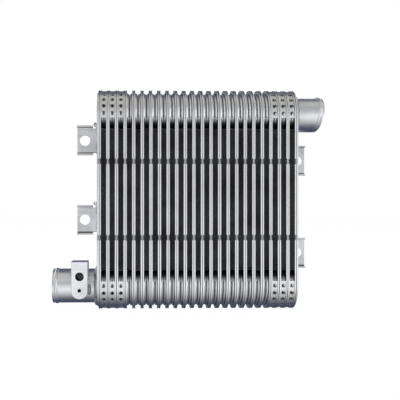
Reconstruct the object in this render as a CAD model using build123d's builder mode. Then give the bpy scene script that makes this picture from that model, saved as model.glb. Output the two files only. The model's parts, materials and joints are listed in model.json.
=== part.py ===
"""Stacked-plate oil cooler: brazed tube core, two tanks formed by the tube ends, two hose pipes.

Millimetres. +X runs along the stack of tubes, +Z is up, and the front faces -Y.
The origin is the centre of the whole object's bounding box.
"""

from build123d import *
import os
from math import atan2, hypot, radians, sin, tan

# ---------------------------------------------------------------- driving dimensions

# Core
TUBE_COUNT = 24
TUBE_PITCH = 10.3
CORE_DEPTH = 64.0
CORE_HEIGHT = 271.0
SHEET = 0.8
TUBE_HALF = 1.87
BRAZE_GAP = 0.05
LIP_BEND = 0.75
RIM_WIDTH = 3.6

# Notches in the lips
NOTCH_Z = 45.7
NOTCH_ROOT = 6.0
NOTCH_MOUTH = 7.6

# Cups that form the tanks
CUP_FOOT_Z = 86.6
CUP_FOOT_CORNER = 11.0
CUP_FACE_Z = 97.0
CUP_FACE_CORNER = 6.0
CUP_DRAFT = 1.0
CUP_SHOULDER = 2.4
FLOW_MARGIN = 4.6
FLOW_CORNER = 1.5

# Fins and turbulators
FIN_SHEET = 0.15
FIN_HEIGHT = 171.0
FIN_DEPTH = 60.0
FIN_WAVES = 70
TURBULATOR_SHEET = 0.3
TURBULATOR_LENGTH = 168.0
TURBULATOR_WIDTH = 52.0
TURBULATOR_WAVES = 9

# End plates
END_SHEET = 1.2
END_HALF_DEPTH = 29.0

# Perforated bands
BANDED_GAPS = 3
BAND_RADIUS = 31.2
BAND_SHEET = 1.0
BAND_TAIL = 5.5
BAND_HOLE_RADIUS = 2.4
BAND_HOLES = 12
BAND_HOLE_STEP = 16.4

# Hose pipes
PIPE_RADIUS = 21.0
PIPE_WALL = 2.0
COLLAR_RADIUS = 22.4
COLLAR_LENGTH = 5.0
BEAD_RISE = 0.9
BEAD_WIDTH = 4.2
PIPE_EDGE = 0.6
LOWER_PIPE_Z = -107.0
LOWER_PIPE_REACH = 55.0
LOWER_BEAD_INSET = 4.6
UPPER_PIPE_Z = 105.5
UPPER_PIPE_REACH = 30.8
UPPER_BEAD_INSET = 4.0
UPPER_END_DROOP = 8.5
UPPER_END_SWING = 8.5

# Sensor boss on the lower pipe
BOSS_FRONT_Y = -27.0
BOSS_DEPTH = 20.0
BOSS_WIDTH = 19.8
BOSS_TOP_Z = -75.0
BOSS_BOTTOM_Z = -120.2
BOSS_REACH = 21.0
BOSS_CHAMFER = 0.4
PORT_Z = -92.9
PORT_RADIUS = 5.2
PORT_DEPTH = 8.0
PORT_THROAT = 4.0
SCREW_Z = -109.6
SCREW_RADIUS = 2.15
SCREW_DEPTH = 5.0

# Brackets
BRACKET_SHEET = 1.8
BRACKET_REACH = 23.6
BRACKET_LIP = 6.0
BRACKET_BEND = 1.4
BRACKET_HOLE_RADIUS = 6.3
BRACKET_HOLE_REACH = 14.6
BRACKET_FOOT = 16.0
BRACKET_RELIEF = 3.0
CURL_RADIUS = 2.2
CURL_WALL = 1.1
CURL_LENGTH = 9.0
LEFT_BRACKET_HEIGHT = 35.4
LEFT_BRACKET_Z = (71.0, -24.4)
LEFT_BRACKET_WEB_Y = -24.0
RIGHT_BRACKET_HEIGHT = 38.6
RIGHT_BRACKET_Z = (50.4, -69.2)
RIGHT_BRACKET_WEB_Y = 29.5

# ---------------------------------------------------------------- worked out from them

RIM_RADIUS = CORE_DEPTH / 2
TANK_Z = CORE_HEIGHT / 2 - RIM_RADIUS
CUP_RADIUS = RIM_RADIUS - RIM_WIDTH
HALF_PITCH = TUBE_PITCH / 2
OUTER_TUBE = (TUBE_COUNT - 1) * TUBE_PITCH / 2
SIDE_FACE = OUTER_TUBE + TUBE_HALF + END_SHEET
PIPE_BORE = PIPE_RADIUS - PIPE_WALL
PIPE_ROOT = OUTER_TUBE + TUBE_HALF - SHEET
END_TILT = hypot(tan(radians(UPPER_END_DROOP)), tan(radians(UPPER_END_SWING)))
UPPER_EXTREME = SIDE_FACE + UPPER_PIPE_REACH + PIPE_RADIUS * END_TILT
CORE_X = (LOWER_PIPE_REACH + SIDE_FACE - UPPER_EXTREME) / 2
BOSS_X = CORE_X - SIDE_FACE - BOSS_REACH
SIDES = {"left": -1, "right": 1}


def tube_x(index):
    """Seam plane of the tube with this index, counted from the left."""
    return CORE_X - OUTER_TUBE + index * TUBE_PITCH


def save(builder, name):
    """Label one finished piece and write its STEP file."""
    builder.part.label = name
    export_step(builder.part, f"parts/{name}.step")


def corrugation(waves, length, low, high, sheet):
    """Closed outline of a zigzag strip that runs along the second axis between two flat levels."""
    step = length / (2 * waves)
    wall = sheet / sin(atan2(step, high - low))
    near, far = [], []
    for turn in range(2 * waves + 1):
        along = -length / 2 + turn * step
        near.append((high - wall if turn % 2 else low, along))
        far.append((high if turn % 2 else low + wall, along))
    return near + far[::-1]


# ---------------------------------------------------------------- tube plates


def cup_outline(radius, floor, corner):
    """Outline of the upper cup: round over the tank, flat with round corners towards the fins."""
    with BuildSketch() as outline:
        with BuildLine():
            Line((-radius, floor), (radius, floor))
            Line((radius, floor), (radius, TANK_Z))
            ThreePointArc((radius, TANK_Z), (0, TANK_Z + radius), (-radius, TANK_Z))
            Line((-radius, TANK_Z), (-radius, floor))
        make_face()
        fillet(outline.vertices().group_by(Axis.Y)[0], corner)
    return outline.sketch


def make_cups(inset):
    """Both cups as solids, drawn from the tube's face to the face where they meet their neighbours.

    The wall leans a little round the tank, and is a long ramp on the side towards the fins. With an
    inset it is the hollow inside, which leans further in instead of following the round shoulder.
    """
    lean = 2 * inset
    with BuildPart() as cups:
        with BuildSketch(Plane.YZ.offset(TUBE_HALF - inset)):
            add(cup_outline(CUP_RADIUS - inset, CUP_FOOT_Z + inset, CUP_FOOT_CORNER))
        with BuildSketch(Plane.YZ.offset(HALF_PITCH - BRAZE_GAP - inset)):
            add(cup_outline(CUP_RADIUS - CUP_DRAFT - lean, CUP_FACE_Z + lean, CUP_FACE_CORNER - lean))
        loft()
        if not inset:
            fillet(cups.edges().group_by(Axis.X)[-1], CUP_SHOULDER)
        mirror(about=Plane.XY)
    return cups.part


def make_flow_openings():
    """Both openings through the cups' meeting faces, as solids to take away."""
    radius = CUP_RADIUS - CUP_DRAFT - FLOW_MARGIN
    with BuildPart() as openings:
        with BuildSketch(Plane.YZ):
            add(cup_outline(radius, CUP_FACE_Z + FLOW_MARGIN, FLOW_CORNER))
        extrude(amount=TUBE_PITCH)
        mirror(about=Plane.XY)
    return openings.part


def make_notches():
    """Tapered blocks that cut the lip away at four places, two on the front and two on the back."""
    middle = RIM_RADIUS - SHEET
    with BuildPart() as notches:
        with BuildSketch(Plane.XZ.offset(middle)):
            for up in (1, -1):
                with BuildLine():
                    Polyline(
                        (SHEET, up * NOTCH_Z - NOTCH_ROOT / 2),
                        (TUBE_HALF + SHEET, up * NOTCH_Z - NOTCH_MOUTH / 2),
                        (TUBE_HALF + SHEET, up * NOTCH_Z + NOTCH_MOUTH / 2),
                        (SHEET, up * NOTCH_Z + NOTCH_ROOT / 2),
                        close=True,
                    )
                make_face()
        extrude(amount=2 * SHEET)
        mirror(about=Plane.XZ)
    return notches.part


def make_plate(cupped, pipe_z=None):
    """One stamped plate, seam side at x = 0 and drawn towards +X.

    A cupped plate has a cup with a flow opening at each end. A plain plate closes the side of the
    stack, with a hole only for a pipe.
    """
    with BuildPart() as plate:
        with BuildSketch(Plane.YZ.offset(BRAZE_GAP)):
            SlotCenterToCenter(2 * TANK_Z, 2 * RIM_RADIUS, rotation=90)
        extrude(amount=TUBE_HALF - BRAZE_GAP)
        fillet(plate.edges().group_by(Axis.X)[0], LIP_BEND)
        # A groove between the lip and the drawn face leaves the rim one sheet thick.
        with BuildSketch(Plane.YZ.offset(SHEET)):
            SlotCenterToCenter(2 * TANK_Z, 2 * (RIM_RADIUS - SHEET), rotation=90)
            SlotCenterToCenter(2 * TANK_Z, 2 * CUP_RADIUS, rotation=90, mode=Mode.SUBTRACT)
        extrude(amount=TUBE_HALF, mode=Mode.SUBTRACT)
        if cupped:
            add(make_cups(0))
        # The passage inside: shallow along the tube, deeper in the cups.
        with BuildSketch(Plane.YZ):
            SlotCenterToCenter(2 * TANK_Z, 2 * (CUP_RADIUS - SHEET), rotation=90)
        extrude(amount=TUBE_HALF - SHEET, mode=Mode.SUBTRACT)
        if cupped:
            add(make_cups(SHEET), mode=Mode.SUBTRACT)
            add(make_flow_openings(), mode=Mode.SUBTRACT)
        if pipe_z is not None:
            with BuildSketch(Plane.YZ):
                with Locations((0, pipe_z)):
                    Circle(PIPE_RADIUS)
            extrude(amount=TUBE_PITCH, mode=Mode.SUBTRACT)
        add(make_notches(), mode=Mode.SUBTRACT)
    return plate.part


def make_tubes():
    """Every tube: two plates back to back on the seam plane."""
    inner_right = make_plate(cupped=True)
    outer_right = make_plate(cupped=False, pipe_z=UPPER_PIPE_Z)
    inner_left = mirror(inner_right, about=Plane.YZ)
    outer_left = mirror(make_plate(cupped=False, pipe_z=LOWER_PIPE_Z), about=Plane.YZ)
    last = TUBE_COUNT - 1
    for index in range(TUBE_COUNT):
        with BuildPart() as tube:
            with Locations((tube_x(index), 0, 0)):
                add(outer_right if index == last else inner_right)
                add(outer_left if index == 0 else inner_left)
        save(tube, f"tube_{index + 1:02d}")


# ---------------------------------------------------------------- fins and turbulators


def make_fins():
    """One corrugated strip in each gap between two tubes, its crests brazed to both."""
    reach = (TUBE_PITCH / 2 - TUBE_HALF) - BRAZE_GAP
    outline = corrugation(FIN_WAVES, FIN_HEIGHT, -reach, reach, FIN_SHEET)
    with BuildPart() as master:
        with BuildSketch(Plane.XZ):
            with BuildLine():
                Polyline(*outline, close=True)
            make_face()
        extrude(amount=FIN_DEPTH / 2, both=True)
    for index in range(TUBE_COUNT - 1):
        with BuildPart() as fin:
            with Locations((tube_x(index) + HALF_PITCH, 0, 0)):
                add(master.part)
        save(fin, f"fin_{index + 1:02d}")


def make_turbulators():
    """A corrugated strip inside each tube, which ties its two faces together against pressure."""
    reach = TUBE_HALF - SHEET - BRAZE_GAP
    outline = corrugation(TURBULATOR_WAVES, TURBULATOR_WIDTH, -reach, reach, TURBULATOR_SHEET)
    with BuildPart() as strip:
        with BuildSketch(Plane.XY):
            with BuildLine():
                Polyline(*outline, close=True)
            make_face()
        extrude(amount=TURBULATOR_LENGTH / 2, both=True)
    with BuildPart() as turbulators:
        with Locations([(tube_x(index), 0, 0) for index in range(TUBE_COUNT)]):
            add(strip.part)
    save(turbulators, "turbulators")


# ---------------------------------------------------------------- end plates and bands


def make_end_plate(side, pipe_z):
    """Flat plate over the side of the stack, with a hole for the pipe."""
    face = SIDES[side] * (OUTER_TUBE + TUBE_HALF) + CORE_X
    with BuildPart() as end_plate:
        with BuildSketch(Plane.YZ.offset(face)):
            SlotCenterToCenter(2 * TANK_Z, 2 * END_HALF_DEPTH, rotation=90)
            with Locations((0, pipe_z)):
                Circle(PIPE_RADIUS, mode=Mode.SUBTRACT)
        extrude(amount=SIDES[side] * END_SHEET)
    save(end_plate, f"{side}_end_plate")


def make_band(up):
    """One perforated band: an arc over a tank with a short straight tail at each end."""
    width = TUBE_PITCH - 2 * TUBE_HALF - 2 * BRAZE_GAP
    inner = BAND_RADIUS - BAND_SHEET
    with BuildPart() as band:
        with BuildSketch(Plane.YZ):
            with Locations((0, up * TANK_Z)):
                Circle(BAND_RADIUS)
                Circle(inner, mode=Mode.SUBTRACT)
            with Locations((0, up * (TANK_Z - CORE_DEPTH / 2))):
                Rectangle(CORE_DEPTH, CORE_DEPTH, mode=Mode.SUBTRACT)
            with Locations((0, up * (TANK_Z - BAND_TAIL / 2))):
                with Locations((BAND_RADIUS - BAND_SHEET / 2, 0), (BAND_SHEET / 2 - BAND_RADIUS, 0)):
                    Rectangle(BAND_SHEET, BAND_TAIL)
        extrude(amount=width / 2, both=True)
        first = -BAND_HOLE_STEP * (BAND_HOLES - 1) / 2
        for hole in range(BAND_HOLES):
            spoke = Plane(origin=(0, 0, up * TANK_Z), z_dir=(0, 0, up)).rotated(
                (first + hole * BAND_HOLE_STEP, 0, 0)
            )
            with BuildSketch(spoke.offset(CUP_RADIUS)):
                Circle(BAND_HOLE_RADIUS)
            extrude(amount=RIM_RADIUS - CUP_RADIUS, mode=Mode.SUBTRACT)
    return band.part


def make_bands(up, name):
    """The bands over one tank, in the outermost gaps at both sides."""
    band = make_band(up)
    last = TUBE_COUNT - 2
    gaps = [gap for count in range(BANDED_GAPS) for gap in (count, last - count)]
    with BuildPart() as bands:
        with Locations([(tube_x(gap) + HALF_PITCH, 0, 0) for gap in sorted(gaps)]):
            add(band)
    save(bands, name)


# ---------------------------------------------------------------- hose pipes and sensor boss


def make_bead():
    """Half-round bead in its own place: a ring about the first axis, centred on the origin."""
    low = PIPE_RADIUS - PIPE_WALL / 2
    half = BEAD_WIDTH / 2
    with BuildPart() as bead:
        with BuildSketch(Plane.XZ):
            with BuildLine():
                Polyline((-half, PIPE_RADIUS), (-half, low), (half, low), (half, PIPE_RADIUS))
                ThreePointArc((half, PIPE_RADIUS), (0, PIPE_RADIUS + BEAD_RISE), (-half, PIPE_RADIUS))
            make_face()
        revolve(axis=Axis.X)
    return bead.part


def make_pipe(reach, bead_inset, droop, swing):
    """Hose pipe along +X: a flared collar at the root and a bead behind its end.

    The end and the bead lean together by the droop and swing angles.
    """
    end = Location((SIDE_FACE + reach, 0, 0), (0, droop, swing))
    bead = end * Pos(-bead_inset, 0, 0) * make_bead()
    collar_end = SIDE_FACE + COLLAR_LENGTH
    with BuildPart() as pipe:
        with BuildSketch(Plane.XZ):
            with BuildLine():
                Polyline(
                    (collar_end, PIPE_RADIUS),
                    (SIDE_FACE + 2 * reach, PIPE_RADIUS),
                    (SIDE_FACE + 2 * reach, PIPE_BORE),
                    (PIPE_ROOT, PIPE_BORE),
                    (PIPE_ROOT, PIPE_RADIUS),
                    (SIDE_FACE, PIPE_RADIUS),
                    (SIDE_FACE, COLLAR_RADIUS),
                )
                TangentArc((collar_end, PIPE_RADIUS), (SIDE_FACE, COLLAR_RADIUS), tangent=(-1, 0))
            make_face()
        revolve(axis=Axis.X)
        split(bisect_by=Plane(end * Plane.YZ.location), keep=Keep.BOTTOM)
        chamfer(pipe.edges().sort_by(Axis.X)[-1], PIPE_EDGE)
        add(bead)
        # The leaning bead reaches into the bore at one side, so the bore is cut again.
        with BuildSketch(Plane.YZ.offset(PIPE_ROOT)):
            Circle(PIPE_BORE)
        extrude(amount=SIDE_FACE + reach, mode=Mode.SUBTRACT)
    return pipe.part


def drill(height, radius, depth):
    """A hole into the front of the boss at this height, as a solid to take away."""
    with BuildPart() as drilled:
        with BuildSketch(Plane.XZ.offset(-BOSS_FRONT_Y)):
            with Locations((BOSS_X, height)):
                Circle(radius)
        extrude(amount=-depth)
    return drilled.part


def make_upper_pipe():
    """Pipe on the right of the upper tank. Its end is cut aslant."""
    placed = Pos(CORE_X, 0, UPPER_PIPE_Z) * make_pipe(
        UPPER_PIPE_REACH, UPPER_BEAD_INSET, UPPER_END_DROOP, UPPER_END_SWING
    )
    with BuildPart() as upper_pipe:
        add(placed)
    save(upper_pipe, "upper_pipe")


def make_lower_pipe():
    """Pipe on the left of the lower tank, with a hole under the sensor port."""
    placed = Location((CORE_X, 0, LOWER_PIPE_Z), (0, 0, 180)) * make_pipe(
        LOWER_PIPE_REACH, LOWER_BEAD_INSET, 0, 0
    )
    with BuildPart() as lower_pipe:
        add(placed)
        add(drill(PORT_Z, PORT_THROAT, BOSS_DEPTH), mode=Mode.SUBTRACT)
    save(lower_pipe, "lower_pipe")


def make_sensor_boss():
    """Block on the front of the lower pipe: square top, round bottom, saddle-cut to the pipe."""
    radius = BOSS_WIDTH / 2
    with BuildPart() as sensor_boss:
        with BuildSketch(Plane.XZ.offset(-BOSS_FRONT_Y)):
            with BuildLine():
                Line((BOSS_X - radius, BOSS_BOTTOM_Z + radius), (BOSS_X - radius, BOSS_TOP_Z))
                Line((BOSS_X - radius, BOSS_TOP_Z), (BOSS_X + radius, BOSS_TOP_Z))
                Line((BOSS_X + radius, BOSS_TOP_Z), (BOSS_X + radius, BOSS_BOTTOM_Z + radius))
                ThreePointArc(
                    (BOSS_X + radius, BOSS_BOTTOM_Z + radius),
                    (BOSS_X, BOSS_BOTTOM_Z),
                    (BOSS_X - radius, BOSS_BOTTOM_Z + radius),
                )
            make_face()
        extrude(amount=-BOSS_DEPTH)
        chamfer(sensor_boss.edges().group_by(Axis.Y)[0], BOSS_CHAMFER)
        with BuildSketch(Plane.YZ.offset(BOSS_X - BOSS_WIDTH)):
            with Locations((0, LOWER_PIPE_Z)):
                Circle(PIPE_RADIUS)
        extrude(amount=2 * BOSS_WIDTH, mode=Mode.SUBTRACT)
        add(drill(PORT_Z, PORT_RADIUS, PORT_DEPTH), mode=Mode.SUBTRACT)
        add(drill(PORT_Z, PORT_THROAT, BOSS_DEPTH), mode=Mode.SUBTRACT)
        add(drill(SCREW_Z, SCREW_RADIUS, SCREW_DEPTH), mode=Mode.SUBTRACT)
    save(sensor_boss, "sensor_boss")


# ---------------------------------------------------------------- brackets


def make_bracket(name, side, middle_z, height, web_y, foot_turn):
    """Bent sheet bracket: a web that faces the front, lips top and bottom, and a foot on the core.

    foot_turn is 1 where the foot runs back from the web along the end plate, -1 where it runs forward.
    """
    out = SIDES[side]
    face = CORE_X + out * SIDE_FACE
    tip = face + out * BRACKET_REACH
    front = web_y - BRACKET_LIP
    top = middle_z + height / 2
    bottom = middle_z - height / 2
    foot_y = web_y if foot_turn > 0 else web_y + BRACKET_SHEET
    with BuildPart() as bracket:
        # A channel section, extruded outwards from the foot.
        with BuildSketch(Plane.YZ.offset(face)):
            with BuildLine():
                Polyline(
                    (front, top),
                    (web_y + BRACKET_SHEET, top),
                    (web_y + BRACKET_SHEET, bottom),
                    (front, bottom),
                    (front, bottom + BRACKET_SHEET),
                    (web_y, bottom + BRACKET_SHEET),
                    (web_y, top - BRACKET_SHEET),
                    (front, top - BRACKET_SHEET),
                    close=True,
                )
            make_face()
        extrude(amount=out * BRACKET_REACH)
        outer_bends = bracket.edges().filter_by(Axis.X).group_by(Axis.Y)[-1]
        fillet(outer_bends, BRACKET_BEND + BRACKET_SHEET / 2)
        inner_bends = bracket.edges().filter_by(Axis.X).filter_by_position(
            Axis.Y, web_y - BRAZE_GAP, web_y + BRAZE_GAP
        )
        fillet(inner_bends, BRACKET_BEND)
        # The lips stop short of the foot, with a relief notch at each corner of the web.
        for level, into in ((top, -1), (bottom, 1)):
            with BuildSketch(Plane.YZ.offset(face)):
                with Locations((web_y, level + into * BRACKET_RELIEF / 2)):
                    Rectangle(4 * BRACKET_LIP, BRACKET_RELIEF)
            extrude(amount=out * (BRACKET_SHEET + BRACKET_RELIEF), mode=Mode.SUBTRACT)
        with BuildSketch(Plane.XZ.offset(-web_y)):
            with Locations((face + out * BRACKET_HOLE_REACH, middle_z)):
                Circle(BRACKET_HOLE_RADIUS)
        extrude(amount=BRACKET_LIP, both=True, mode=Mode.SUBTRACT)
        # The foot runs along the end plate, and a tab at its upper end is curled outwards.
        foot_top = top + CURL_RADIUS
        with BuildSketch(Plane.YZ.offset(face)):
            with Locations(
                (foot_y + foot_turn * BRACKET_FOOT / 2, (bottom + BRACKET_RELIEF + foot_top) / 2)
            ):
                Rectangle(BRACKET_FOOT, foot_top - bottom - BRACKET_RELIEF)
        extrude(amount=out * BRACKET_SHEET)
        with BuildSketch(Plane.XZ.offset(-foot_y)):
            with Locations((face + out * CURL_RADIUS, foot_top)):
                Circle(CURL_RADIUS)
                Circle(CURL_RADIUS - CURL_WALL, mode=Mode.SUBTRACT)
        extrude(amount=-foot_turn * CURL_LENGTH)
    save(bracket, name)


# ---------------------------------------------------------------- the whole cooler

os.makedirs("parts", exist_ok=True)
make_tubes()
make_fins()
make_turbulators()
make_end_plate("left", LOWER_PIPE_Z)
make_end_plate("right", UPPER_PIPE_Z)
make_bands(1, "upper_perforated_bands")
make_bands(-1, "lower_perforated_bands")
make_upper_pipe()
make_lower_pipe()
make_sensor_boss()
for place, middle_z in zip(("upper", "lower"), LEFT_BRACKET_Z):
    make_bracket(f"left_{place}_bracket", "left", middle_z, LEFT_BRACKET_HEIGHT, LEFT_BRACKET_WEB_Y, 1)
for place, middle_z in zip(("upper", "lower"), RIGHT_BRACKET_Z):
    make_bracket(f"right_{place}_bracket", "right", middle_z, RIGHT_BRACKET_HEIGHT, RIGHT_BRACKET_WEB_Y, -1)
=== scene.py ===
"""Looks of the stacked-plate oil cooler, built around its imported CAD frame.

Metres. +X runs along the stack of tubes, +Z is up, and the front faces -Y.
"""

import json
import math
import random

import bpy
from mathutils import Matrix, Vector, noise


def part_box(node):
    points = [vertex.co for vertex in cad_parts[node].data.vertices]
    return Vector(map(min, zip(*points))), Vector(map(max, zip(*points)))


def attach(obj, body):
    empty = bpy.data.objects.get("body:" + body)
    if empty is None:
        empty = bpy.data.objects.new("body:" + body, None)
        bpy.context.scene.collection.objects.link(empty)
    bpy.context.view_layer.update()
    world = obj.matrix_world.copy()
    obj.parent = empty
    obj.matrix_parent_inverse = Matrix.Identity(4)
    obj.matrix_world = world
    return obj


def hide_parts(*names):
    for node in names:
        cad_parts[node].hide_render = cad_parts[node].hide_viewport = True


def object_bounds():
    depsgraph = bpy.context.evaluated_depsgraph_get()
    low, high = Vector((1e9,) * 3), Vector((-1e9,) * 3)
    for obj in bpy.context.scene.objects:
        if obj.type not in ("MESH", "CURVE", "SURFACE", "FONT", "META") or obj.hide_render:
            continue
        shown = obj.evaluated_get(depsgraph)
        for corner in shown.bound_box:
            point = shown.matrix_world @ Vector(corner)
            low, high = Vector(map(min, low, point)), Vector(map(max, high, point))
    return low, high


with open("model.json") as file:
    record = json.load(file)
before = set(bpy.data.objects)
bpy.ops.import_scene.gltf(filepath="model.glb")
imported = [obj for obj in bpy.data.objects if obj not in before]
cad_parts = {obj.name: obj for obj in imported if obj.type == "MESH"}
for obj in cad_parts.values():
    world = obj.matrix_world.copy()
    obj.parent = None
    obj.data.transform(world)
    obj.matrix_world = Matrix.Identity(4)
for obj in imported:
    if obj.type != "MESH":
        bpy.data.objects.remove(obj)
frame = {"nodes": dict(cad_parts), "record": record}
cad_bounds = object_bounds()

MM = 0.001
BODY = "root"

# ---------------------------------------------------------------- camera, stage and light

CAMERA_PLACE = (-66.0 * MM, -752.0 * MM, -0.6 * MM)
CAMERA_PAN = math.radians(1.25)
CAMERA_LENS = 54.2
CAMERA_SENSOR = 36.0
CAMERA_SHIFT = 0.13
FLOOR_RADIUS = 6.0
FLOOR_SIDES = 96
FLOOR_GLOW = 0.97
FLOOR_TONE = (0.05, 0.05, 0.05, 1.0)

# What metal reflects, round the X axis: degrees above the front horizon, then the colour.
SKY_BANDS = (
    (-180, (0.075, 0.088, 0.155)),
    (-104, (0.075, 0.088, 0.155)),
    (-80, (0.22, 0.23, 0.27)),
    (-60, (0.56, 0.56, 0.57)),
    (-32, (1.0, 1.0, 1.01)),
    (-14, (1.22, 1.23, 1.26)),
    (0, (0.98, 0.98, 1.0)),
    (12, (0.64, 0.64, 0.65)),
    (30, (0.42, 0.42, 0.43)),
    (52, (0.52, 0.52, 0.51)),
    (70, (0.70, 0.69, 0.66)),
    (94, (0.60, 0.59, 0.58)),
    (112, (0.14, 0.15, 0.20)),
    (128, (0.075, 0.088, 0.155)),
    (180, (0.075, 0.088, 0.155)),
)
SIDE_TONE = (0.56, 0.57, 0.59, 1.0)
SIDE_START = 0.38
SIDE_FULL = 0.78


def new_node(tree, kind, settings=None, inputs=None):
    """Add a node, set its properties, and set or link its inputs."""
    node = tree.nodes.new(kind)
    for key, value in (settings or {}).items():
        setattr(node, key, value)
    for key, value in (inputs or {}).items():
        if isinstance(value, bpy.types.NodeSocket):
            tree.links.new(value, node.inputs[key])
        else:
            node.inputs[key].default_value = value
    return node


def color_ramp(tree, factor, stops):
    """A ramp through (position, colour) stops, driven by a socket. Returns its colour socket."""
    ramp = new_node(tree, "ShaderNodeValToRGB", inputs={"Fac": factor})
    elements = ramp.color_ramp.elements
    while len(elements) < len(stops):
        elements.new(0.5)
    for element, (position, tone) in zip(elements, stops):
        element.position = position
        element.color = (*tone[:3], 1.0)
    return ramp.outputs["Color"]


def math_node(tree, operation, first, second=0.0, clamp=False):
    """A math node on two sockets or numbers. Returns its value socket."""
    return new_node(
        tree, "ShaderNodeMath", {"operation": operation, "use_clamp": clamp}, {0: first, 1: second}
    ).outputs[0]


def make_camera():
    """Camera in front of the cooler, left of its middle, panned and shifted to frame it."""
    data = bpy.data.cameras.new("camera")
    data.lens = CAMERA_LENS
    data.sensor_width = CAMERA_SENSOR
    data.shift_x = CAMERA_SHIFT
    data.clip_start = 0.01
    data.clip_end = 50.0
    camera = bpy.data.objects.new("camera", data)
    camera.location = CAMERA_PLACE
    camera.rotation_euler = (math.radians(90), 0, -CAMERA_PAN)
    bpy.context.scene.collection.objects.link(camera)
    bpy.context.scene.camera = camera


def make_world():
    """Soft studio surroundings: plain white to look at, a banded gradient for metal to reflect."""
    world = bpy.data.worlds.new("studio")
    bpy.context.scene.world = world
    world.use_nodes = True
    tree = world.node_tree
    tree.nodes.clear()
    direction = new_node(tree, "ShaderNodeTexCoord").outputs["Generated"]
    parts = new_node(tree, "ShaderNodeSeparateXYZ", inputs={"Vector": direction}).outputs
    front = math_node(tree, "MULTIPLY", parts["Y"], -1.0)
    angle = math_node(tree, "ARCTAN2", parts["Z"], front)
    turn = math_node(tree, "MULTIPLY_ADD", angle, 1 / (2 * math.pi))
    turn.node.inputs[2].default_value = 0.5
    bands = color_ramp(tree, turn, [((degrees + 180) / 360, tone) for degrees, tone in SKY_BANDS])
    sideways = math_node(tree, "ABSOLUTE", parts["X"])
    blend = new_node(
        tree,
        "ShaderNodeMapRange",
        {"interpolation_type": "SMOOTHSTEP"},
        {"Value": sideways, "From Min": SIDE_START, "From Max": SIDE_FULL},
    ).outputs["Result"]
    sky = new_node(
        tree, "ShaderNodeMix", {"data_type": "RGBA"}, {"Factor": blend, "A": bands, "B": SIDE_TONE}
    )
    reflected = new_node(tree, "ShaderNodeBackground", inputs={"Color": sky.outputs["Result"]})
    seen = new_node(tree, "ShaderNodeBackground", inputs={"Color": (1, 1, 1, 1)})
    is_seen = new_node(tree, "ShaderNodeLightPath").outputs["Is Camera Ray"]
    mixed = new_node(
        tree,
        "ShaderNodeMixShader",
        inputs={0: is_seen, 1: reflected.outputs[0], 2: seen.outputs[0]},
    )
    new_node(tree, "ShaderNodeOutputWorld", inputs={"Surface": mixed.outputs[0]})


def make_floor():
    """Plain pale floor disc under the cooler, which metal doesn't mirror."""
    level = cad_bounds[0].z
    rim = [
        (
            FLOOR_RADIUS * math.cos(2 * math.pi * side / FLOOR_SIDES),
            FLOOR_RADIUS * math.sin(2 * math.pi * side / FLOOR_SIDES),
            level,
        )
        for side in range(FLOOR_SIDES)
    ]
    mesh = bpy.data.meshes.new("floor")
    mesh.from_pydata(rim, [], [tuple(range(FLOOR_SIDES))])
    floor = bpy.data.objects.new("floor", mesh)
    bpy.context.scene.collection.objects.link(floor)
    floor.visible_glossy = False
    material = bpy.data.materials.new("floor_paper")
    material.use_nodes = True
    tree = material.node_tree
    tree.nodes.clear()
    glow = new_node(tree, "ShaderNodeEmission", inputs={"Strength": FLOOR_GLOW})
    paper = new_node(tree, "ShaderNodeBsdfDiffuse", inputs={"Color": FLOOR_TONE})
    both = new_node(tree, "ShaderNodeAddShader", inputs={0: glow.outputs[0], 1: paper.outputs[0]})
    new_node(tree, "ShaderNodeOutputMaterial", inputs={"Surface": both.outputs[0]})
    mesh.materials.append(material)


def make_softbox(name, place, target, size, power, tone):
    """A soft rectangular light that points at the target and isn't seen itself."""
    data = bpy.data.lights.new(name, "AREA")
    data.shape = "RECTANGLE"
    data.size, data.size_y = size
    data.energy = power
    data.color = tone
    light = bpy.data.objects.new(name, data)
    light.location = place
    light.rotation_euler = (Vector(target) - Vector(place)).to_track_quat("-Z", "Y").to_euler()
    light.visible_camera = False
    bpy.context.scene.collection.objects.link(light)


def make_lights():
    """Two front softboxes and two behind, for the sides and the back."""
    middle = (0.0, 0.0, 0.0)
    make_softbox("front_left", (-1.3, -1.5, 1.0), middle, (1.8, 1.8), 5.0, (1.0, 0.985, 0.96))
    make_softbox("front_right", (1.5, -1.2, 0.4), middle, (1.4, 1.6), 7.0, (0.97, 0.985, 1.0))
    make_softbox("back_left", (-1.3, 1.2, 0.5), middle, (1.7, 1.7), 9.0, (1.0, 1.0, 1.0))
    make_softbox("back_right", (1.3, 1.2, 0.5), middle, (1.7, 1.7), 9.0, (1.0, 1.0, 1.0))


# ---------------------------------------------------------------- metal materials


def noise_socket(tree, point, scale, stretch=(1.0, 1.0, 1.0), detail=3.0, rough=0.55):
    """Noise in object space: scale in cycles per metre, stretched along the axes. Returns its factor."""
    placed = new_node(
        tree, "ShaderNodeMapping", inputs={"Vector": point, "Scale": tuple(scale * s for s in stretch)}
    ).outputs["Vector"]
    return new_node(
        tree,
        "ShaderNodeTexNoise",
        inputs={"Vector": placed, "Scale": 1.0, "Detail": detail, "Roughness": rough},
    ).outputs["Fac"]


def ranged(tree, value, low, high, to_low=0.0, to_high=1.0):
    """Map a value between two limits to a new range, smoothly."""
    return new_node(
        tree,
        "ShaderNodeMapRange",
        {"interpolation_type": "SMOOTHSTEP"},
        {"Value": value, "From Min": low, "From Max": high, "To Min": to_low, "To Max": to_high},
    ).outputs["Result"]


def mixed_tone(tree, factor, first, second):
    """Mix two colours or colour sockets by a factor socket."""
    return new_node(
        tree, "ShaderNodeMix", {"data_type": "RGBA"}, {"Factor": factor, "A": first, "B": second}
    ).outputs["Result"]


def split_point(tree, point):
    """The X, Y and Z sockets of a point."""
    return new_node(tree, "ShaderNodeSeparateXYZ", inputs={"Vector": point}).outputs


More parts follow.
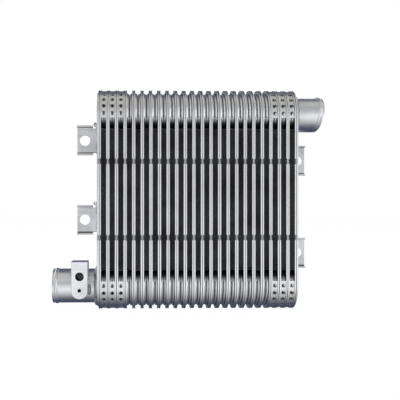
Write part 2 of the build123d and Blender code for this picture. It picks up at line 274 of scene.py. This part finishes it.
def seam_side(tree, x):
    """Place between two tubes: 0 on the nearest seam plane, down to -0.5 on its left, 0.5 on its right."""
    low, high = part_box("tube_02")
    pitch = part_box("tube_03")[0].x - low.x
    first = (low.x + high.x) / 2
    turns = math_node(tree, "DIVIDE", math_node(tree, "SUBTRACT", x, first), pitch)
    return math_node(tree, "SUBTRACT", math_node(tree, "FRACT", math_node(tree, "ADD", turns, 0.5)), 0.5)


def seam_distance(tree, x):
    """Distance along X from the nearest seam plane of a tube, in metres."""
    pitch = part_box("tube_03")[0].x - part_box("tube_02")[0].x
    return math_node(tree, "MULTIPLY", math_node(tree, "ABSOLUTE", seam_side(tree, x)), pitch)


def tube_shade(tree, point):
    """Painted shade on the tubes: in the groove along the fins and fading up the cups, on the seams, in the
    creases and where cups meet.
    """
    x, y, z = split_point(tree, point)
    fin_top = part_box("fin_02")[1].z
    height = math_node(tree, "ABSOLUTE", z)
    deep = ranged(tree, math_node(tree, "ABSOLUTE", y), 30.6 * MM, 31.1 * MM, 1.0, 0.0)
    beside_fins = ranged(tree, height, fin_top + 5 * MM, fin_top + 17 * MM, 1.0, 0.0)
    seam = ranged(tree, seam_distance(tree, x), 0.2 * MM, 0.75 * MM, 0.5, 0.0)
    # Painted shade in the crease where a cup rises out of its plate, darker on the left of each tube.
    from_seam = seam_distance(tree, x)
    rising = ranged(tree, from_seam, 1.7 * MM, 2.0 * MM)
    risen = ranged(tree, from_seam, 2.5 * MM, 3.1 * MM, 1.0, 0.0)
    left = ranged(tree, seam_side(tree, x), -0.02, 0.02, 0.85, 0.15)
    crease = math_node(tree, "MULTIPLY", math_node(tree, "MULTIPLY", rising, risen), left)
    crease = math_node(tree, "MULTIPLY", crease, ranged(tree, height, fin_top, fin_top + 6 * MM))
    # Painted shade where neighbouring cups meet.
    meeting = ranged(tree, from_seam, 4.5 * MM, 5.0 * MM, 0.0, 0.7)
    groove = math_node(tree, "MULTIPLY", deep, beside_fins)
    dark = math_node(tree, "MAXIMUM", groove, seam)
    return math_node(tree, "MAXIMUM", dark, math_node(tree, "MAXIMUM", crease, meeting))


def foot_shade(tree, point):
    """Painted shade, dark towards the fins and fading out towards the tank, with a painted dark line where two
    cups meet.
    """
    x, y, z = split_point(tree, point)
    fin_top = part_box("fin_02")[1].z
    height = math_node(tree, "ABSOLUTE", z)
    low_down = ranged(tree, height, fin_top + 5 * MM, fin_top + 17 * MM, 1.0, 0.0)
    meeting = ranged(tree, seam_distance(tree, x), 4.5 * MM, 5.0 * MM, 0.0, 0.75)
    return math_node(tree, "MAXIMUM", low_down, meeting)


def band_shade(tree, point):
    """Painted shade: a dark line along both edges of each band, where it meets the tubes' lips."""
    x = split_point(tree, point)[0]
    return ranged(tree, seam_distance(tree, x), 1.95 * MM, 2.35 * MM, 0.75, 0.0)


def bracket_shade(tree, point):
    """Painted shade: a dark line in the bend under each lip of the brackets."""
    x, y, z = split_point(tree, point)
    dark = None
    for side, on_left, on_right in (("left", 1.0, 0.0), ("right", 0.0, 1.0)):
        this_side = ranged(tree, x, -1 * MM, 1 * MM, on_left, on_right)
        for place in ("upper", "lower"):
            low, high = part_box(f"{side}_{place}_bracket")
            for level, factor in ((low.z + 2.9 * MM, 0.85), (high.z - 2.9 * MM, 0.6)):
                away = math_node(tree, "ABSOLUTE", math_node(tree, "SUBTRACT", z, level))
                line = ranged(tree, away, 0.35 * MM, 0.9 * MM, factor, 0.0)
                line = math_node(tree, "MULTIPLY", line, this_side)
                dark = line if dark is None else math_node(tree, "MAXIMUM", dark, line)
    return dark


def boss_shade(tree, point):
    """Painted shade inside the sensor port and the screw hole, laid over everything behind the boss's front
    face near its middle in X and below its top.
    """
    x, y, z = split_point(tree, point)
    low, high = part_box("sensor_boss")
    middle = (low.x + high.x) / 2
    inside = ranged(tree, y, low.y + 0.3 * MM, low.y + 0.9 * MM)
    near_axis = ranged(
        tree, math_node(tree, "ABSOLUTE", math_node(tree, "SUBTRACT", x, middle)), 5.3 * MM, 6.0 * MM, 1.0, 0.0
    )
    below_top = ranged(tree, z, high.z - 6 * MM, high.z - 5 * MM, 1.0, 0.0)
    return math_node(tree, "MULTIPLY", math_node(tree, "MULTIPLY", inside, near_axis), below_top)


def make_metal(name, tone, stain, rough, streak, speck=0.35, bump=0.05, sheen=0.1, wear=None, shade=None):
    """Aluminium with cloudy stains, drawn or brushed streaks, fine grain, worn edges and painted shade.

    tone and stain are the clean and the dull colour, rough the lowest and the highest roughness,
    streak the stretch of the brushing along X, Y and Z, speck how strong the small spots are, sheen
    how far the brushing shows, wear
    the bevel radius of bright edges, and shade a function that gives the factor of painted shade.
    """
    material = bpy.data.materials.new(name)
    material.use_nodes = True
    tree = material.node_tree
    shader = tree.nodes["Principled BSDF"]
    shader.inputs["Metallic"].default_value = 1.0
    point = new_node(tree, "ShaderNodeTexCoord").outputs["Object"]
    clouds = noise_socket(tree, point, 28.0, detail=4.0)
    spots = noise_socket(tree, point, 420.0, detail=3.0, rough=0.6)
    brushed = noise_socket(tree, point, 1400.0, streak, detail=3.0, rough=0.6)
    fine = noise_socket(tree, point, 2600.0, detail=2.0)
    dulled = ranged(tree, clouds, 0.38, 0.68)
    color = mixed_tone(tree, dulled, (*tone, 1.0), (*stain, 1.0))
    speckle = ranged(tree, spots, 0.58, 0.78, 0.0, speck)
    color = mixed_tone(tree, speckle, color, tuple(0.62 * part for part in stain) + (1.0,))
    shine = ranged(tree, brushed, 0.3, 0.7, 1 - sheen, 1 + 0.7 * sheen)
    color = new_node(
        tree, "ShaderNodeVectorMath", {"operation": "SCALE"}, {0: color, "Scale": shine}
    ).outputs["Vector"]
    roughness = ranged(tree, math_node(tree, "ADD", clouds, spots), 0.75, 1.25, rough[0], rough[1])
    if wear is not None:
        rounded = new_node(tree, "ShaderNodeBevel", {"samples": 4}, {"Radius": wear}).outputs["Normal"]
        flat = new_node(tree, "ShaderNodeNewGeometry").outputs["Normal"]
        match = new_node(
            tree, "ShaderNodeVectorMath", {"operation": "DOT_PRODUCT"}, {0: rounded, 1: flat}
        ).outputs["Value"]
        edge = math_node(tree, "MULTIPLY", ranged(tree, match, 0.99, 0.85), spots, clamp=True)
        color = mixed_tone(tree, edge, color, (0.9, 0.9, 0.9, 1.0))
    if shade is not None:
        # Painted shade: where the shade function says, the colour goes to near black and the roughness rises.
        shadow = shade(tree, point)
        color = mixed_tone(tree, shadow, color, (0.035, 0.036, 0.04, 1.0))
        roughness = math_node(tree, "MAXIMUM", roughness, math_node(tree, "MULTIPLY", shadow, 0.6))
    tree.links.new(color, shader.inputs["Base Color"])
    tree.links.new(roughness, shader.inputs["Roughness"])
    height = math_node(tree, "ADD", math_node(tree, "MULTIPLY", brushed, 0.7), fine)
    relief = new_node(
        tree, "ShaderNodeBump", inputs={"Strength": bump, "Distance": 0.1 * MM, "Height": height}
    )
    if wear is not None:
        tree.links.new(rounded, relief.inputs["Normal"])
    tree.links.new(relief.outputs["Normal"], shader.inputs["Normal"])
    return material


def make_materials():
    """Every finish of the cooler: the record's material slots, and the finer ones of added pieces."""
    upright = (1.0, 1.0, 0.03)
    along_x = (0.03, 1.0, 1.0)
    even = (1.0, 1.0, 1.0)
    return {
        "tube_plate": make_metal(
            "tube_plate_metal", (0.84, 0.845, 0.85), (0.77, 0.775, 0.78), (0.27, 0.31), upright,
            speck=0.03, bump=0.004, sheen=0.03, shade=tube_shade,
        ),
        "cup_foot": make_metal(
            "cup_foot_metal", (0.84, 0.85, 0.86), (0.74, 0.75, 0.76), (0.26, 0.38), upright,
            speck=0.08, bump=0.012, sheen=0.04, shade=foot_shade,
        ),
        # The fins' aluminium, their edges and braze dots are painted dark: painted shade of the deep channels
        # between the fins.
        "fin": make_metal("fin_painted_shade_metal", (0.14, 0.145, 0.16), (0.08, 0.08, 0.09), (0.35, 0.5), along_x),
        "fin_edge": make_metal("fin_edge_painted_shade_metal", (0.24, 0.245, 0.25), (0.13, 0.13, 0.14), (0.25, 0.4), even),
        "turbulator": make_metal(
            "turbulator_metal", (0.60, 0.61, 0.62), (0.45, 0.46, 0.47), (0.35, 0.5), upright
        ),
        "end_plate": make_metal(
            "end_plate_metal", (0.72, 0.73, 0.74), (0.58, 0.59, 0.60), (0.28, 0.42), upright,
            wear=0.4 * MM,
        ),
        "perforated_band": make_metal(
            "band_metal", (0.80, 0.80, 0.795), (0.70, 0.71, 0.70), (0.3, 0.44), along_x,
            speck=0.25, shade=band_shade,
        ),
        "pipe": make_metal(
            "pipe_metal", (0.74, 0.75, 0.77), (0.64, 0.65, 0.66), (0.27, 0.36), along_x,
            speck=0.12, bump=0.012, sheen=0.05,
        ),
        "machined_boss": make_metal(
            "boss_metal", (0.82, 0.83, 0.85), (0.74, 0.75, 0.77), (0.3, 0.38), along_x,
            speck=0.1, wear=0.5 * MM, shade=boss_shade,
        ),
        "bracket": make_metal(
            "bracket_metal", (0.66, 0.67, 0.68), (0.50, 0.51, 0.52), (0.28, 0.4), along_x,
            speck=0.15, bump=0.02, wear=0.5 * MM, shade=bracket_shade,
        ),
        "weld": make_metal("weld_metal", (0.62, 0.62, 0.63), (0.36, 0.36, 0.38), (0.34, 0.55), even, bump=0.1),
    }


def dress_nodes(materials):
    """Give each carried-over CAD node the material of its slot."""
    for part in frame["record"]["subparts"]:
        mesh = frame["nodes"][part["node"]].data
        mesh.materials.clear()
        mesh.materials.append(materials[part["material_slot"]])


# ---------------------------------------------------------------- mesh pieces


def make_piece(name, points, faces, finishes, picks=None, smooth=True):
    """A mesh object that rides on the cooler. picks is the finish's index for each face."""
    mesh = bpy.data.meshes.new(name)
    mesh.from_pydata(points, [], faces)
    for finish in finishes:
        mesh.materials.append(finish)
    if picks is not None:
        mesh.polygons.foreach_set("material_index", picks)
    mesh.polygons.foreach_set("use_smooth", [smooth] * len(mesh.polygons))
    mesh.update()
    piece = bpy.data.objects.new(name, mesh)
    bpy.context.scene.collection.objects.link(piece)
    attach(piece, BODY)
    return piece


# Fins
FIN_WAVES = 70
FIN_SHEET = 0.15 * MM
FIN_CREST = 0.5 * MM
FIN_SWAY = 1.45 * MM
FIN_SWAY_LENGTH = 24.0 * MM
FIN_STATIONS = 16
FIN_UNEVEN = 0.12 * MM
BRAZE_INTO_GAP = 0.6 * MM
BRAZE_UNDER_LIP = 0.95 * MM
BRAZE_TALL = 0.48 * MM
BRAZE_DEEP = 1.5 * MM


def fin_outline(low, high, chance):
    """Zigzag line of one fin across the gap, from bottom to top, as (x, z) points."""
    step = (high.z - low.z - FIN_CREST) / (2 * FIN_WAVES)
    outline = []
    for turn in range(2 * FIN_WAVES + 1):
        level = low.z + FIN_CREST / 2 + turn * step
        if 0 < turn < 2 * FIN_WAVES:
            level += chance.uniform(-FIN_UNEVEN, FIN_UNEVEN)
        side = high.x - FIN_SHEET / 2 if turn % 2 else low.x + FIN_SHEET / 2
        outline.append((side, level - FIN_CREST / 2))
        outline.append((side, level + FIN_CREST / 2))
    return outline


def fin_sway(low, high, y, z, phase):
    """How far the fin's channel stands above its own middle at this depth. Its two ends stay level."""
    fade = max(0.0, min(1.0, (z - low.z) / (2 * FIN_SWAY), (high.z - z) / (2 * FIN_SWAY)))
    return FIN_SWAY * fade * math.sin(2 * math.pi * y / FIN_SWAY_LENGTH + phase)


def add_braze(points, faces, picks, inner, outer, y, z):
    """A small wedge of braze metal that ties one end of a crest to the tube."""
    start = len(points)
    for depth in (y - BRAZE_DEEP / 2, y + BRAZE_DEEP / 2):
        points.append((outer, depth, z - BRAZE_TALL))
        points.append((inner, depth, z - BRAZE_TALL / 3))
        points.append((inner, depth, z + BRAZE_TALL / 3))
        points.append((outer, depth, z + BRAZE_TALL))
    sides = [(0, 1, 2, 3), (7, 6, 5, 4), (0, 4, 5, 1), (1, 5, 6, 2), (2, 6, 7, 3), (3, 7, 4, 0)]
    faces.extend(tuple(start + corner for corner in side) for side in sides)
    picks.extend([1] * len(sides))


def make_fin(node, materials, chance):
    """Corrugated air fin whose channels wave up and down on their way through the core."""
    low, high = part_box(node)
    outline = fin_outline(low, high, chance)
    phase = chance.uniform(0, 2 * math.pi)
    row = len(outline)
    sheet = row * (FIN_STATIONS + 1)
    points, faces, picks = [], [], []
    for side in (-1, 1):
        for station in range(FIN_STATIONS + 1):
            y = low.y + (high.y - low.y) * station / FIN_STATIONS
            for place, (x, z) in enumerate(outline):
                before = outline[max(place - 1, 0)]
                after = outline[min(place + 1, row - 1)]
                run = Vector((after[0] - before[0], after[1] - before[1])).normalized()
                rise = side * run.x * FIN_SHEET / 2 + fin_sway(low, high, y, z, phase)
                points.append((x - side * run.y * FIN_SHEET / 2, y, z + rise))
    for station in range(FIN_STATIONS):
        for place in range(row - 1):
            near = station * row + place
            far = near + row
            faces.append((near, near + 1, far + 1, far))
            faces.append((sheet + near, sheet + far, sheet + far + 1, sheet + near + 1))
        bottom = station * row
        top = bottom + row - 1
        faces.append((bottom, bottom + row, sheet + bottom + row, sheet + bottom))
        faces.append((top, sheet + top, sheet + top + row, top + row))
    picks.extend([0] * len(faces))
    for place in range(row - 1):
        back = FIN_STATIONS * row + place
        faces.append((place, sheet + place, sheet + place + 1, place + 1))
        faces.append((back, back + 1, sheet + back + 1, sheet + back))
        picks.extend([1, 1])
    middle = (low.x + high.x) / 2
    for crest in range(0, row, 2):
        x, level = outline[crest]
        z = level + FIN_CREST / 2
        out = 1 if x > middle else -1
        for y in (low.y, high.y - BRAZE_DEEP / 2):
            sway = fin_sway(low, high, y, z, phase)
            add_braze(points, faces, picks, x - out * BRAZE_INTO_GAP, x + out * BRAZE_UNDER_LIP, y, z + sway)
    # Both finishes are darkened aluminium, painted shade of the fin channels.
    finishes = [materials["fin"], materials["fin_edge"]]
    piece = make_piece(f"wavy_{node}", points, faces, finishes, picks, smooth=False)
    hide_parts(node)


def make_fins(materials):
    """All the fins, each a little different."""
    chance = random.Random(7)
    names = sorted(name for name in frame["nodes"] if name.startswith("fin_"))
    for name in names:
        make_fin(name, materials, chance)


# Feet of the cups, which turn inwards to the fins
FOOT_RISE = 14.0 * MM
FOOT_TOP_DEPTH = 4.2 * MM
FOOT_BOTTOM_DEPTH = 11.0 * MM
FOOT_LOBE = 1.1 * MM
FOOT_ACROSS = 16
FOOT_ALONG = 12


def make_feet(materials):
    """The rounded ends of the cups between two tubes: two lobes that turn back towards the fin."""
    names = sorted(name for name in frame["nodes"] if name.startswith("fin_"))
    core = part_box("tube_02")
    for name in names:
        low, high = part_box(name)
        middle = (low.x + high.x) / 2
        half = (high.x - low.x) / 2 + 0.4 * MM
        points, faces = [], []
        for up in (1, -1):
            for front in (1, -1):
                start = len(points)
                for along in range(FOOT_ALONG + 1):
                    share = along / FOOT_ALONG
                    z = up * (high.z - 0.6 * MM + FOOT_RISE * share)
                    turned = FOOT_TOP_DEPTH + (FOOT_BOTTOM_DEPTH - FOOT_TOP_DEPTH) * (1 - share) ** 2.2
                    for across in range(FOOT_ACROSS + 1):
                        side = 2 * across / FOOT_ACROSS - 1
                        lobe = FOOT_LOBE * math.sin(math.pi * abs(side)) ** 0.7 * (0.35 + 0.65 * share)
                        y = front * (core[0].y + turned - lobe)
                        points.append((middle + half * side, y, z))
                row = FOOT_ACROSS + 1
                for along in range(FOOT_ALONG):
                    for across in range(FOOT_ACROSS):
                        near = start + along * row + across
                        quad = (near, near + 1, near + row + 1, near + row)
                        faces.append(quad if up * front > 0 else quad[::-1])
        make_piece(f"cup_feet_{name[-2:]}", points, faces, [materials["cup_foot"]])


# Weld beads
BEAD_ARC = 9
BEAD_RIPPLE = 1.3 * MM
BEAD_SINK = 0.5 * MM


def make_weld(name, centres, outs, width, height, materials, closed=False):
    """A weld bead along points on the surface, with their outward directions: ripples and uneven edges."""
    count = len(centres)
    points, faces = [], []
    run = 0.0
    for place, (centre, out) in enumerate(zip(centres, outs)):
        before = centres[place - 1] if closed or place else centres[0]
        after = centres[(place + 1) % count] if closed or place < count - 1 else centres[-1]
        tangent = (after - before).normalized()
        across = tangent.cross(out).normalized()
        run += (after - before).length / 2
        wander = noise.noise(centre * 260.0)
        ripple = 0.82 + 0.18 * abs(math.sin(math.pi * run / BEAD_RIPPLE))
        taper = 1.0
        if not closed:
            along = place / (count - 1)
            taper = math.sqrt(max(0.04, 1 - (2 * along - 1) ** 4))
        half = width / 2 * (1 + 0.3 * wander) * taper
        tall = height * (1 + 0.35 * noise.noise(centre * 410.0)) * ripple * taper
        for step in range(BEAD_ARC):
            turn = math.pi * step / (BEAD_ARC - 1)
            points.append(
                centre
                + across * (half * math.cos(turn) + 0.2 * half * wander)
                + out * (tall * math.sin(turn) - BEAD_SINK * (1 if step in (0, BEAD_ARC - 1) else 0))
            )
    links = count if closed else count - 1
    for place in range(links):
        near = place * BEAD_ARC
        far = (place + 1) % count * BEAD_ARC
        for step in range(BEAD_ARC):
            after = (step + 1) % BEAD_ARC
            faces.append((near + step, near + after, far + after, far + step))
    if not closed:
        faces.append(tuple(range(BEAD_ARC))[::-1])
        faces.append(tuple((count - 1) * BEAD_ARC + step for step in range(BEAD_ARC)))
    return make_piece(name, points, faces, [materials["weld"]])


RING_STEPS = 220
RING_WIDTH = 6.0 * MM
RING_HEIGHT = 2.2 * MM


def make_weld_ring(name, pipe, plate, side, materials):
    """Bead in the corner between a hose pipe's collar and the end plate."""
    plate_low, plate_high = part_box(plate)
    pipe_low, pipe_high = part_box(pipe)
    face = plate_low.x if side < 0 else plate_high.x
    radius = (pipe_high.y - pipe_low.y) / 2 - 0.6 * MM
    level = pipe_level(pipe)
    centres, outs = [], []
    for step in range(RING_STEPS):
        turn = side * 2 * math.pi * step / RING_STEPS
        spoke = Vector((0, -math.cos(turn), math.sin(turn)))
        centres.append(Vector((face + side * 1.4 * MM, 0, level)) + spoke * (radius + 0.1 * MM))
        outs.append((spoke + Vector((side, 0, 0))).normalized())
    make_weld(name, centres, outs, RING_WIDTH, RING_HEIGHT, materials, closed=True)


def pipe_level(pipe):
    """Height of a hose pipe's axis, from the mount that the record gives at its bore."""
    mounts = {mount["name"]: mount for mount in frame["record"]["mounts"]}
    return mounts[f"{pipe}_bore"]["pos_m"][2]


def make_boss_welds(materials):
    """Short beads that hold the boss to the lower pipe, one on each side."""
    low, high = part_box("sensor_boss")
    level = pipe_level("lower_pipe")
    radius = 21.0 * MM
    runs = (
        ("boss_weld_right", high.x + 1.3 * MM, 12, -24, 5.0 * MM, 1.9 * MM),
        ("boss_weld_left", low.x - 1.2 * MM, 66, 30, 4.2 * MM, 1.3 * MM),
    )
    for name, x, first, last, width, height in runs:
        steps = 28
        centres, outs = [], []
        for step in range(steps):
            turn = math.radians(first + (last - first) * step / (steps - 1))
            spoke = Vector((0, -math.cos(turn), math.sin(turn)))
            centres.append(Vector((x, 0, level)) + spoke * radius)
            outs.append(spoke)
        make_weld(name, centres, outs, width, height, materials)


def make_bracket_welds(materials):
    """Two short upright beads where each bracket's foot meets the end plate."""
    for side, plate_name, sign in (("left", "left_end_plate", -1), ("right", "right_end_plate", 1)):
        plate_low, plate_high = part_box(plate_name)
        face = plate_low.x if sign < 0 else plate_high.x
        for place in ("upper", "lower"):
            low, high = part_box(f"{side}_{place}_bracket")
            front = high.y - 16.0 * MM if sign > 0 else low.y + 6.0 * MM
            for part, share in (("top", 0.72), ("bottom", 0.26)):
                middle = low.z + (high.z - low.z) * share
                steps = 16
                centres, outs = [], []
                for step in range(steps):
                    z = middle + (step / (steps - 1) - 0.5) * 9 * MM
                    centres.append(Vector((face + sign * 0.3 * MM, front, z)))
                    outs.append(Vector((sign * 0.5, -0.9, 0)).normalized())
                name = f"{side}_{place}_bracket_weld_{part}"
                make_weld(name, centres, outs, 2.6 * MM, 1.1 * MM, materials)


# ---------------------------------------------------------------- the whole scene

make_camera()
make_world()
make_floor()
make_lights()
bpy.context.scene.view_settings.view_transform = "Standard"
materials = make_materials()
dress_nodes(materials)
make_fins(materials)
make_feet(materials)
make_weld_ring("upper_pipe_weld", "upper_pipe", "right_end_plate", 1, materials)
make_weld_ring("lower_pipe_weld", "lower_pipe", "left_end_plate", -1, materials)
make_boss_welds(materials)
make_bracket_welds(materials)
